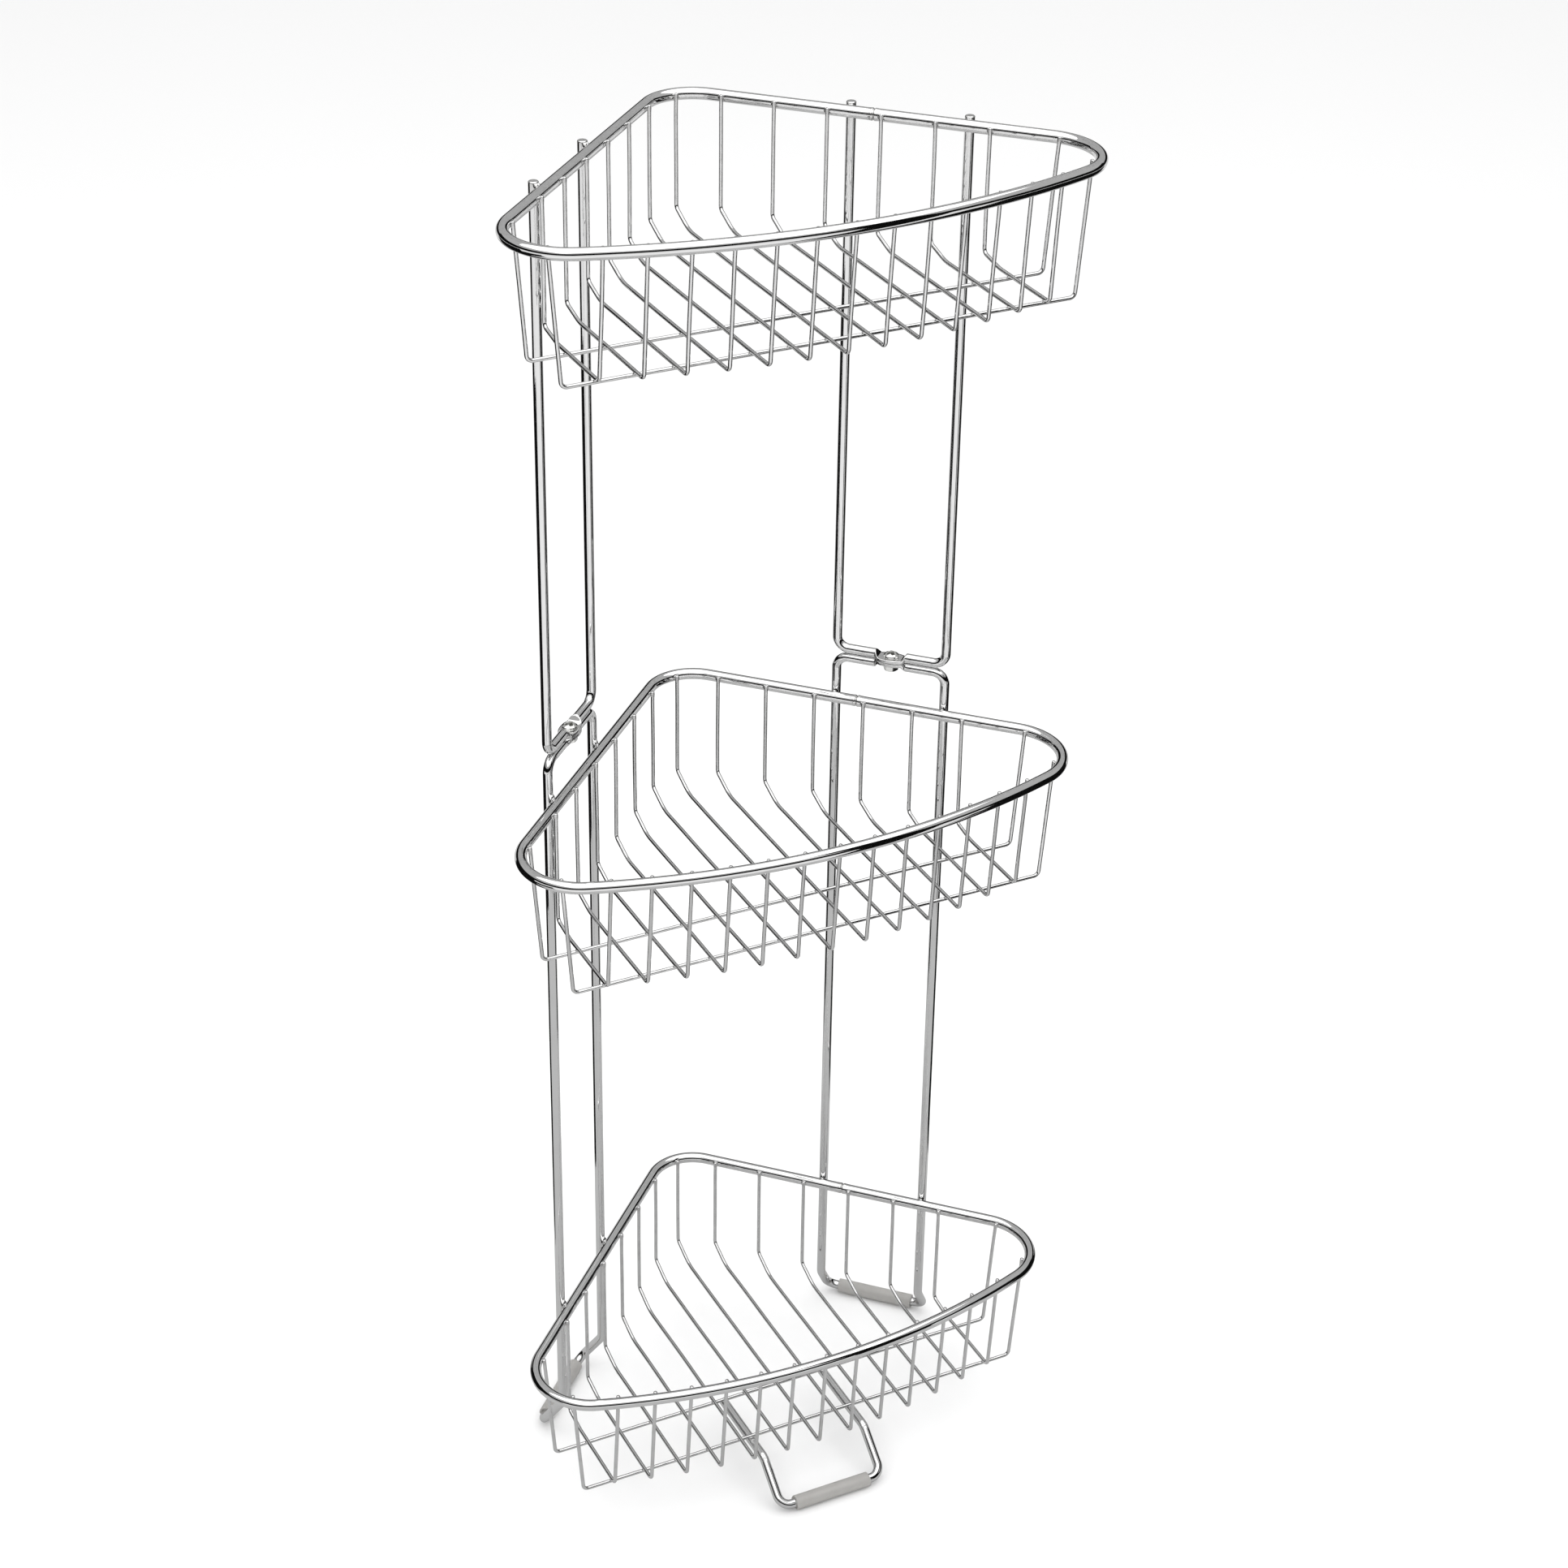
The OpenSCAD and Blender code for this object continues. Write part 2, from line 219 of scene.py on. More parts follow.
def newGroup(name, inputs, outputs):
    group = bpy.data.node_groups.new(name, "ShaderNodeTree")
    for label, kind, value in inputs:
        socket = group.interface.new_socket(label, in_out="INPUT", socket_type=kind)
        socket.default_value = value
    for label, kind in outputs:
        group.interface.new_socket(label, in_out="OUTPUT", socket_type=kind)
    return group, group.nodes.new("NodeGroupInput"), group.nodes.new("NodeGroupOutput")


def calc(tree, operation, a, b, clamp=False):
    node = tree.nodes.new("ShaderNodeMath")
    node.operation, node.use_clamp = operation, clamp
    for k, value in enumerate((a, b)):
        if isinstance(value, (int, float)):
            node.inputs[k].default_value = value
        else:
            tree.links.new(value, node.inputs[k])
    return node.outputs[0]


def mixColour(tree, factor, a, b):
    node = tree.nodes.new("ShaderNodeMix")
    node.data_type = "RGBA"  # whose sockets are 0 for the factor, 6 and 7 for the colours
    for socket, value in ((node.inputs[0], factor), (node.inputs[6], a), (node.inputs[7], b)):
        if isinstance(value, (int, float, tuple)):
            socket.default_value = value
        else:
            tree.links.new(value, socket)
    return node.outputs[2]


def noiseOf(tree, vector, scale, detail, roughness):
    node = tree.nodes.new("ShaderNodeTexNoise")
    node.inputs["Detail"].default_value = detail
    node.inputs["Roughness"].default_value = roughness
    if isinstance(scale, (int, float)):
        node.inputs["Scale"].default_value = scale
    else:
        tree.links.new(scale, node.inputs["Scale"])
    tree.links.new(vector, node.inputs["Vector"])
    return node.outputs["Fac"]


platingValues = {"lineStretch": 6.0, "rippleScale": 210.0, "speckScale": 1900.0,
                 "cloudStart": 0.45, "cloudGain": 3.0, "speckStart": 0.68,
                 "speckGain": 4.0, "workedAndShadeDull": 0.35, "speckDull": 0.25,
                 "dullRoughness": 0.22, "lineRoughness": 0.05, "lineHeight": 0.35,
                 "rippleHeight": 0.5, "speckHeight": 0.4}


# Drawn and plated wire. Height = fine lines along the wire, from noise with the line
# density's cells round it and six times as many to the metre along it, plus broad ripple
# and specks. Dull = cloudy patches, the mark of the worked ends, welds and screw recesses,
# and the specks; it mixes bright with tarnish and shade, and adds to the roughness. At the
# welds and in the screw recesses that mark is painted shade; at the worked ends it is real.
def drawnWireGroup():
    v = platingValues
    group, given, out = newGroup("drawnWire", [
        ("Line Density", "NodeSocketFloat", 26.0), ("Cloud Scale", "NodeSocketFloat", 90.0),
        ("Dullness", "NodeSocketFloat", 0.3), ("Base Roughness", "NodeSocketFloat", 0.06),
        ("Bright", "NodeSocketColor", (0.9, 0.9, 0.9, 1)),
        ("TarnishAndShade", "NodeSocketColor", (0.6, 0.6, 0.6, 1))], [
        ("Colour", "NodeSocketColor"), ("Roughness", "NodeSocketFloat"),
        ("Height", "NodeSocketFloat")])
    coords = group.nodes.new("ShaderNodeTexCoord")
    stretch = group.nodes.new("ShaderNodeMapping")
    stretch.inputs["Scale"].default_value = (1.0, v["lineStretch"], 1.0)
    group.links.new(coords.outputs["UV"], stretch.inputs["Vector"])
    lines = noiseOf(group, stretch.outputs["Vector"], given.outputs["Line Density"], 4, 0.6)
    clouds = noiseOf(group, coords.outputs["Object"], given.outputs["Cloud Scale"], 4, 0.6)
    ripple = noiseOf(group, coords.outputs["Object"], v["rippleScale"], 2, 0.4)
    specks = noiseOf(group, coords.outputs["Object"], v["speckScale"], 1, 0.5)
    # the mark read here: worked metal at the stamped eyes, painted shade at the welds and in the
    # screw recesses
    workedAndShade = group.nodes.new("ShaderNodeAttribute")
    workedAndShade.attribute_name = "workedAndShade"
    cloudy = calc(group, "SUBTRACT", clouds, v["cloudStart"], True)
    cloudy = calc(group, "MULTIPLY", cloudy, v["cloudGain"], True)
    speck = calc(group, "SUBTRACT", specks, v["speckStart"], True)
    speck = calc(group, "MULTIPLY", speck, v["speckGain"], True)
    dull = calc(group, "MULTIPLY", cloudy, given.outputs["Dullness"])
    workedAndShaded = calc(group, "MULTIPLY", workedAndShade.outputs["Fac"], v["workedAndShadeDull"])
    dull = calc(group, "ADD", dull, workedAndShaded)
    dull = calc(group, "ADD", dull, calc(group, "MULTIPLY", speck, v["speckDull"]), True)
    group.links.new(mixColour(group, dull, given.outputs["Bright"], given.outputs["TarnishAndShade"]),
                    out.inputs["Colour"])
    rough = calc(group, "ADD", given.outputs["Base Roughness"],
                 calc(group, "MULTIPLY", dull, v["dullRoughness"]))
    rough = calc(group, "ADD", rough, calc(group, "MULTIPLY", lines, v["lineRoughness"]))
    group.links.new(rough, out.inputs["Roughness"])
    height = calc(group, "ADD", calc(group, "MULTIPLY", lines, v["lineHeight"]),
                  calc(group, "MULTIPLY", ripple, v["rippleHeight"]))
    height = calc(group, "ADD", height, calc(group, "MULTIPLY", speck, v["speckHeight"]))
    group.links.new(height, out.inputs["Height"])
    return group


# A metal: the drawn wire group with this metal's own values
def metalMaterial(name, values):
    material = bpy.data.materials.new(name)
    material.use_nodes = True
    tree = material.node_tree
    shader = tree.nodes["Principled BSDF"]
    shader.inputs["Metallic"].default_value = 1.0
    drawn = tree.nodes.new("ShaderNodeGroup")
    drawn.node_tree = bpy.data.node_groups["drawnWire"]
    for label, value in values["group"].items():
        drawn.inputs[label].default_value = value
    bump = tree.nodes.new("ShaderNodeBump")
    bump.inputs["Strength"].default_value = values["bumpStrength"]
    bump.inputs["Distance"].default_value = values["bumpDepth"]
    tree.links.new(drawn.outputs["Height"], bump.inputs["Height"])
    tree.links.new(drawn.outputs["Colour"], shader.inputs["Base Color"])
    tree.links.new(drawn.outputs["Roughness"], shader.inputs["Roughness"])
    tree.links.new(bump.outputs["Normal"], shader.inputs["Normal"])
    return material


# Milky soft vinyl. Colour = two warm greys mixed by cloudy noise, which also adds to the
# roughness; height = the same noise plus a finer one, as a cut and stretched tube has.
def vinylMaterial(values):
    material = bpy.data.materials.new("clearVinyl")
    material.use_nodes = True
    tree = material.node_tree
    shader = tree.nodes["Principled BSDF"]
    shader.inputs["Transmission Weight"].default_value = values["transmission"]
    shader.inputs["IOR"].default_value = values["refraction"]
    coords = tree.nodes.new("ShaderNodeTexCoord")
    cloud = noiseOf(tree, coords.outputs["Object"], values["cloudScale"], 4, 0.6)
    fine = noiseOf(tree, coords.outputs["Object"], values["fineScale"], 3, 0.6)
    tree.links.new(mixColour(tree, cloud, values["pale"], values["warm"]),
                   shader.inputs["Base Color"])
    rough = calc(tree, "ADD", values["roughness"],
                 calc(tree, "MULTIPLY", cloud, values["cloudRoughness"]))
    tree.links.new(rough, shader.inputs["Roughness"])
    bump = tree.nodes.new("ShaderNodeBump")
    bump.inputs["Strength"].default_value = values["bumpStrength"]
    bump.inputs["Distance"].default_value = values["bumpDepth"]
    grain = calc(tree, "MULTIPLY", fine, values["fineHeight"])
    tree.links.new(calc(tree, "ADD", cloud, grain), bump.inputs["Height"])
    tree.links.new(bump.outputs["Normal"], shader.inputs["Normal"])
    return material


# each metal's tarnish colour is also the colour of the painted shade at the welds and in the
# recesses
chromeLook = {
    "group": {"Line Density": 26.0, "Cloud Scale": 90.0, "Dullness": 0.20,
              "Base Roughness": 0.012, "Bright": (0.90, 0.90, 0.90, 1),
              "TarnishAndShade": (0.66, 0.65, 0.63, 1)},
    "bumpStrength": 0.22, "bumpDepth": 0.00004}
basketLook = {
    "group": {"Line Density": 18.0, "Cloud Scale": 140.0, "Dullness": 0.35,
              "Base Roughness": 0.06, "Bright": (0.84, 0.84, 0.84, 1),
              "TarnishAndShade": (0.52, 0.51, 0.50, 1)},
    "bumpStrength": 0.3, "bumpDepth": 0.00005}
# zinc's near-black tarnish serves mostly as the painted shade in the screw recesses, and as
# tarnish in its cloudy patches and specks
zincLook = {
    "group": {"Line Density": 40.0, "Cloud Scale": 300.0, "Dullness": 0.18,
              "Base Roughness": 0.09, "Bright": (0.84, 0.84, 0.82, 1),
              "TarnishAndShade": (0.12, 0.12, 0.11, 1)},
    "bumpStrength": 0.5, "bumpDepth": 0.00005}
vinylLook = {"transmission": 0.5, "refraction": 1.5, "roughness": 0.26, "cloudScale": 160.0,
             "cloudRoughness": 0.2, "fineScale": 900.0, "fineHeight": 0.3,
             "bumpStrength": 0.5, "bumpDepth": 0.00015,
             "pale": (0.72, 0.71, 0.69, 1), "warm": (0.58, 0.565, 0.54, 1)}

drawnWireGroup()
chrome = metalMaterial("chromePlate", chromeLook)
basketChrome = metalMaterial("basketChrome", basketLook)
zinc = metalMaterial("zincPlate", zincLook)
vinyl = vinylMaterial(vinylLook)
print("materials made")


# Gives a piece its material, its body and the CAD nodes it stands in for.
# The slot is not used.
def finishPiece(piece, material, body, slot, *nodes):
    piece.data.materials.append(material)
    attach(piece, body)
    if nodes:
        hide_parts(*nodes)
    return piece


def nodeBox(node):
    low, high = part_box(node)
    return np.array(low, float), np.array(high, float)


mm = 0.001
up = np.array([0, 0, 1.0])
walls = ((1, "left"), (-1, "right"))  # the two wall sides, by sign and name

rimValues = {"radius": 3 * mm, "step": 0.02 * mm, "backCorner": 24 * mm,
             "frontCorner": 30 * mm, "bow": 395 * mm, "sides": 40,
             "seamAt": 101.5 * mm, "flashWidth": 1.6 * mm, "flashHeight": 0.22 * mm,
             "notchWidth": 0.45 * mm, "notchDepth": 0.55 * mm}

rimLow, rimHigh = nodeBox("top_rim")
rimZ = {t: float((nodeBox(t + "_rim")[0][2] + nodeBox(t + "_rim")[1][2]) / 2) for t in tiers}
apexY = rimHigh[1] - rimValues["radius"] - rimValues["step"] \
    + rimValues["backCorner"] * (math.sqrt(2) - 1)
frontY = rimLow[1] + rimValues["radius"]
bowY = frontY + rimValues["bow"]
cornerSum = apexY - math.sqrt(2) * rimValues["frontCorner"]
bowGap = bowY - cornerSum
cornerReach = rimValues["bow"] - rimValues["frontCorner"]
cornerX = (math.sqrt(2 * cornerReach ** 2 - bowGap ** 2) - bowGap) / 2
cornerY = cornerSum - cornerX
cornerAngle = math.atan2(cornerY - bowY, cornerX)


# The rim's centre line: arcs about the back corner, the two front corners and the bow,
# all turning clockwise seen from above, with the straight sides between them. An arc is
# its centre plus r (cos k, sin k), and it heads along (sin k, -cos k).
def rimRoute(z):
    q = math.pi / 4
    backY = apexY - math.sqrt(2) * rimValues["backCorner"]
    arcs = ((0, backY, rimValues["backCorner"], 2 * q, q, 16),
            (cornerX, cornerY, rimValues["frontCorner"], q, cornerAngle, 44),
            (0, bowY, rimValues["bow"], cornerAngle, -math.pi - cornerAngle, 120),
            (-cornerX, cornerY, rimValues["frontCorner"], math.pi - cornerAngle, 3 * q, 44),
            (0, backY, rimValues["backCorner"], 3 * q, 2 * q, 16))
    points, headings = [], []
    for x, y, r, start, end, n in arcs:
        k = np.linspace(start, end, n)
        points.append(np.stack([x + r * np.cos(k), y + r * np.sin(k), np.full(n, z)], 1))
        headings.append(np.stack([np.sin(k), -np.cos(k), np.zeros(n)], 1))
    points, headings = np.vstack(points), np.vstack(headings)
    gaps = np.linalg.norm(np.diff(points, axis=0), axis=1)
    keep = np.concatenate([[True], gaps > 1e-7])
    points, headings = points[keep], headings[keep]
    route = routeOf(points, headings)
    # the wire starts and ends at its butt weld, part of the way down the right side
    first, way = pointsAt(route, np.array([rimValues["seamAt"]]))
    rest = int(np.searchsorted(route[2], rimValues["seamAt"], side="right"))
    points = np.vstack([first, points[rest:], points[1:rest], first])
    return routeOf(points, np.vstack([way, headings[rest:], headings[1:rest], way]))


for tier in tiers:
    route = rimRoute(rimZ[tier])
    total = route[2][-1]
    s = samplesOf(route[2], [0, total], 5 * mm, 10 * mm, 0.25 * mm)
    s[-1] = total
    fromWeld = np.minimum(s, total - s)
    flash = np.exp(-(fromWeld / rimValues["flashWidth"]) ** 2)
    notch = np.exp(-(fromWeld / rimValues["notchWidth"]) ** 2)
    radius = rimValues["radius"] + rimValues["flashHeight"] * flash \
        - rimValues["notchDepth"] * notch
    # the weld's flash is also the mark: darker there, as painted shade in the notch, and rougher
    piece = carried(tier + "_rimWire", route, s, radius, radius, up, rimValues["sides"],
                    closed=True, marks=flash)
    finishPiece(piece, chrome, "caddy", "chrome_wire", tier + "_rim")
print("rims made")


wireValues = {"radius": 1.0 * mm, "bite": 0.15 * mm, "depth": 63 * mm, "pitch": 19 * mm,
              "count": 13, "legBend": 3 * mm, "slopeBend": 25 * mm, "slopeRun": 15 * mm,
              "slopeRise": 7 * mm, "slopeFade": 0.6, "frontLean": 5.5 * mm,
              "crossLean": 5 * mm, "endHeight": 1.8 * mm, "rearSetback": 143.5 * mm,
              "frontSetback": 177 * mm, "sides": 16, "tip": 0.5 * mm, "tipBlunt": 0.02,
              "waver": 0.10 * mm, "waverTurns": (46, 97), "waverFade": 10 * mm,
              "spread": 0.12, "pressLength": 1.1 * mm}
outermost = (wireValues["count"] - 1) / 2  # the outer wires are this many pitches out
legInset = rimValues["radius"] + wireValues["radius"] - wireValues["bite"]
crossDrop = wireValues["depth"] + 2 * wireValues["radius"] - wireValues["bite"]


# Where a leg at x stands inside the back of the rim: the back corner's circle, drawn in
# by the two wires' radii, and the straight sides at 45 degrees beyond it
def backLegY(x):
    r = rimValues["backCorner"] - legInset
    if abs(x) < r / math.sqrt(2):
        return apexY - math.sqrt(2) * rimValues["backCorner"] + math.sqrt(r * r - x * x)
    return apexY - math.sqrt(2) * legInset - abs(x)


# The same inside the bowed front: y = centre - sqrt(r^2 - x^2)
def frontLegY(x):
    return bowY - math.sqrt((rimValues["bow"] - legInset) ** 2 - x * x)


# How far out a cross wire's leg at y stands: on the side, or in the front corner
def sideLegX(y):
    r = rimValues["frontCorner"] - legInset
    if y > cornerY + r / math.sqrt(2):
        return apexY - math.sqrt(2) * legInset - y
    return cornerX + math.sqrt(r * r - (y - cornerY) ** 2)


# A thin wire: round, with rounded cut ends, pressed a little wider where it is welded,
# and wavering by about a tenth of a millimetre between its welds.
def basketWire(name, corners, radii, upAxis, welds):
    route = bentRoute(corners, radii)
    total = route[2][-1]
    weldsAt = [w if w >= 0 else total + w for w in welds]
    s = samplesOf(route[2], weldsAt, 2.4 * mm, 7 * mm, 0.4 * mm)
    s, near = withTips(s, total, wireValues["tip"], 6)
    inTip = 1 - np.clip(near / wireValues["tip"], 0, 1)
    tip = np.sqrt(np.clip(1 - inTip ** 2, wireValues["tipBlunt"], 1))
    pressed = sum(np.exp(-((s - w) / wireValues["pressLength"]) ** 2) for w in weldsAt)
    pressed = np.clip(pressed, 0, 1)
    r = wireValues["radius"] * tip
    wide = r * (1 + wireValues["spread"] * pressed)
    phase = random.uniform(0, 2 * np.pi, 3)
    slow, quick = wireValues["waverTurns"]
    waves = np.sin(s * slow + phase[0]) + 0.5 * np.sin(s * quick + phase[1])
    waver = wireValues["waver"] * waves * (1 - pressed) * smooth(0, wireValues["waverFade"], near)
    # the pressed welds are also the mark: darker, as painted shade in the crevice where the wire
    # meets the rim, and rougher
    return carried(name, route, s, r, wide, upAxis, wireValues["sides"], lift=waver,
                   marks=pressed)


rearY = apexY - wireValues["rearSetback"]
foreY = apexY - wireValues["frontSetback"]
for tier in tiers:
    z = rimZ[tier]
    floorZ = z - wireValues["depth"]
    share = wireValues["endHeight"] / wireValues["depth"]
    for n in range(1, wireValues["count"] + 1):
        x = (n - 1 - outermost) * wireValues["pitch"]
        fade = wireValues["slopeFade"] * (x / (outermost * wireValues["pitch"])) ** 2
        rise = wireValues["slopeRise"] * (1 - fade)
        back, front = backLegY(x), frontLegY(x)
        corners = [[x, back, z + wireValues["endHeight"]], [x, back, floorZ + rise],
                   [x, back - wireValues["slopeRun"], floorZ],
                   [x, front + wireValues["frontLean"], floorZ],
                   [x, front - wireValues["frontLean"] * share, z + wireValues["endHeight"]]]
        name = f"{tier}_floor_wire_{n:02d}"
        piece = basketWire(f"{tier}_floorWire{n:02d}", corners,
                           [0, wireValues["legBend"], wireValues["slopeBend"],
                            wireValues["legBend"], 0], np.array([1.0, 0, 0]),
                           [wireValues["endHeight"], -wireValues["endHeight"]])
        finishPiece(piece, basketChrome, "caddy", "chrome_wire", name)
    for end, y in (("rear", rearY), ("front", foreY)):
        topX = sideLegX(y)
        endX = topX + wireValues["crossLean"] * share
        low = z - crossDrop
        corners = [[-endX, y, z + wireValues["endHeight"]],
                   [-topX + wireValues["crossLean"], y, low],
                   [topX - wireValues["crossLean"], y, low],
                   [endX, y, z + wireValues["endHeight"]]]
        piece = basketWire(f"{tier}_{end}CrossWire", corners,
                           [0, wireValues["legBend"], wireValues["legBend"], 0],
                           np.array([0, 1.0, 0]),
                           [wireValues["endHeight"], -wireValues["endHeight"]])
        finishPiece(piece, basketChrome, "caddy", "chrome_wire", f"{tier}_{end}_cross_wire")
print("basket wires made")


frameValues = {"radius": 2.5 * mm, "width": 59 * mm, "setback": 123 * mm, "bend": 6.5 * mm,
               "kickBend": 8 * mm, "kickOut": 13.5 * mm, "kickDrop": 18.5 * mm,
               "ringStart": 12 * mm, "barGap": 0.1 * mm, "tipChamfer": 0.8 * mm,
               "tipWidth": 0.62, "sides": 32, "eyeHalfWidth": 5.25 * mm,
               "eyeHalfLength": 9.5 * mm, "eyeThick": 2 * mm, "eyeFlat": 6 * mm,
               "eyeRamp": 2.7 * mm, "eyeSquareness": 7.0, "eyeReach": 12 * mm,
               "workedFade": (9.8 * mm, 8.5 * mm), "weldSpread": 3 * mm,
               "weldDrop": 2 * mm, "holeRadius": 2.15 * mm, "holeReach": 6 * mm,
               "sharpAngle": 38}
footValues = {"width": 61 * mm, "bendSetback": 192 * mm, "reach": 22 * mm, "bend": 6.5 * mm,
              "kickBend": 8 * mm, "tail": 3 * mm, "height": 4 * mm}
frameInset = rimValues["radius"] + frameValues["radius"] - wireValues["bite"]
jointZ = float(nodeBox("left_upper_frame")[0][2])  # the eyes meet on this plane
topZ = float(nodeBox("left_upper_frame")[1][2])
footZ = footValues["height"]


# A point of a frame's own place, x along the wall and y towards it, put on the left
# (side 1) or right (side -1) wall.
def atWall(side, points):
    points = np.asarray(points, float)
    a = side * math.pi / 4
    x = points[..., 0] - side * frameValues["setback"]
    y = points[..., 1] + frameInset
    return np.stack([x * math.cos(a) - y * math.sin(a),
                     apexY + x * math.sin(a) + y * math.cos(a), points[..., 2]], -1)


# A direction turned in the same way
def wallWay(side, way):
    return atWall(side, way) - atWall(side, [0, 0, 0])


# Half-widths, squareness and offset of the bar through its stamped eye, by the distance
# from the eye's middle: the width follows an arc, the height drops at the ramps.
def eyeSection(distance):
    v = frameValues
    r = v["radius"]
    d = np.abs(distance)
    flat = 1 - smooth(v["eyeFlat"], v["eyeFlat"] + v["eyeRamp"], d)
    lens = v["eyeHalfWidth"] * np.sqrt(np.clip(1 - (d / v["eyeHalfLength"]) ** 2, 0, 1))
    wide = np.maximum(r, lens)
    thick = r + (v["eyeThick"] / 2 - r) * flat
    drop = (v["eyeThick"] / 2 - (r + v["barGap"])) * flat
    return wide, thick, 2 + (v["eyeSquareness"] - 2) * flat, drop


# How much of its width a bar keeps near a cut end: a quarter of an ellipse down to the
# share that is left at the tip
def barTip(near):
    inTip = 1 - np.clip(near / frameValues["tipChamfer"], 0, 1)
    kept = frameValues["tipWidth"]
    return kept + (1 - kept) * np.sqrt(1 - inTip ** 2)


# A frame's wire, with its eye stamped at one place along it. The section's sideways
# axis is upright along the bar, so the eye's thickness and offset go along it.
def frameWire(name, side, corners, radii, closed, eyeAt, offset, welds):
    route = bentRoute(atWall(side, corners), radii, closed, math.radians(3))
    total = route[2][-1]
    s = samplesOf(route[2], [eyeAt], frameValues["eyeReach"], 12 * mm, 0.25 * mm)
    tip = 1.0
    if closed:
        s[-1] = total
    else:
        s, near = withTips(s, total, frameValues["tipChamfer"], 8)
        tip = barTip(near)
    wide, thick, square, drop = eyeSection(s - eyeAt)
    # the stamped eye is marked as worked metal; each weld is marked darker, as painted shade in
    # the crevice where the frame meets the rim
    marks = 0.5 * smooth(*frameValues["workedFade"], np.abs(s - eyeAt))
    marks = marks + sum(np.exp(-((s - w) / frameValues["weldSpread"]) ** 2) for w in welds)
    return carried(name, route, s, thick * tip, wide * tip, wallWay(side, [0, 1.0, 0]),
                   frameValues["sides"], square, closed=closed, marks=np.clip(marks, 0, 1),
                   across=offset * drop)


# The screw's hole through an eye, cut with a round cutter of that radius
def boreHole(piece, centre, radius):
    n = 48
    k = np.linspace(0, 2 * np.pi, n, endpoint=False)
    ring = np.stack([centre[0] + radius * np.cos(k), centre[1] + radius * np.sin(k)], 1)
    reach = frameValues["holeReach"]
    low, high = np.full(n, centre[2] - reach), np.full(n, centre[2] + reach)
    verts = np.vstack([np.column_stack([ring, low]), np.column_stack([ring, high])])
    j = np.arange(n)
    sides = np.stack([j, (j + 1) % n, (j + 1) % n + n, j + n], 1).tolist()
    cutter = makePiece("holeCutter", verts,
                       sides + [list(range(n - 1, -1, -1)), list(range(n, 2 * n))])
    cut = piece.modifiers.new("eyeHole", "BOOLEAN")
    cut.operation, cut.solver, cut.object = "DIFFERENCE", "EXACT", cutter
    graph = bpy.context.evaluated_depsgraph_get()
    holed = bpy.data.meshes.new_from_object(piece.evaluated_get(graph))
    piece.modifiers.clear()
    piece.data = holed
    holed.polygons.foreach_set("use_smooth", np.ones(len(holed.polygons), bool))
    holed.set_sharp_from_angle(angle=math.radians(frameValues["sharpAngle"]))
    bpy.data.objects.remove(cutter)


eyeCentre = {}
half = frameValues["width"] / 2
kickZ = footZ + frameValues["kickDrop"]
for side, hand in walls:
    eyeCentre[hand] = atWall(side, [0, 0, jointZ])
    bar = jointZ + frameValues["radius"] + frameValues["barGap"]
    corners = [[-half, 0, topZ], [-half, 0, bar], [half, 0, bar], [half, 0, topZ]]
    radii = [0, frameValues["bend"], frameValues["bend"], 0]
    total = bentRoute(atWall(side, corners), radii)[2][-1]
    weldAt = topZ - rimZ["top"] - frameValues["weldDrop"]
    piece = frameWire(hand + "_upperFrame", side, corners, radii, False, total / 2, -1,
                      [weldAt, total - weldAt])
    boreHole(piece, eyeCentre[hand], frameValues["holeRadius"])
    finishPiece(piece, chrome, "caddy", "chrome_wire", hand + "_upper_frame")

    bar = jointZ - frameValues["radius"] - frameValues["barGap"]
    # the ring starts a little way along the bar, clear of its eye
    start = -half + frameValues["ringStart"]
    corners = [[start, 0, bar], [half, 0, bar], [half, 0, kickZ],
               [half, frameValues["kickOut"], footZ], [-half, frameValues["kickOut"], footZ],
               [-half, 0, kickZ], [-half, 0, bar]]
    bend, kick = frameValues["bend"], frameValues["kickBend"]
    radii = [1 * mm, bend, kick, bend, bend, kick, bend]
    piece = frameWire(hand + "_lowerFrame", side, corners, radii, True, -start, 1, [])
    boreHole(piece, eyeCentre[hand], frameValues["holeRadius"])
    finishPiece(piece, chrome, "caddy", "chrome_wire", hand + "_lower_frame")

# The front foot: its legs run back under the bottom basket's cross wires
half = footValues["width"] / 2
legZ = rimZ["bottom"] - crossDrop - wireValues["radius"] - frameValues["radius"] \
    + wireValues["bite"]
backY = rearY + footValues["tail"]
bendY = apexY - footValues["bendSetback"]
barY = bendY - footValues["reach"]
corners = [[-half, backY, legZ], [-half, bendY, legZ], [-half, barY, footZ],
           [half, barY, footZ], [half, bendY, legZ], [half, backY, legZ]]
route = bentRoute(corners, [0, footValues["kickBend"], footValues["bend"],
                            footValues["bend"], footValues["kickBend"], 0])
s, near = withTips(samplesOf(route[2]), route[2][-1], frameValues["tipChamfer"], 8)
radius = frameValues["radius"] * barTip(near)
loopUp = unit(np.array([0, footZ - legZ, footValues["reach"]]))
piece = carried("frontFootWire", route, s, radius, radius, loopUp, frameValues["sides"])
finishPiece(piece, chrome, "caddy", "chrome_wire", "front_foot")
print("frames and foot made")


sleeveValues = {"outer": 4.0 * mm, "bore": 2.55 * mm, "length": 45 * mm, "lip": 0.35 * mm,
                "ragged": 0.25 * mm, "ripple": 0.05 * mm, "rippleTurns": (420, 160)}


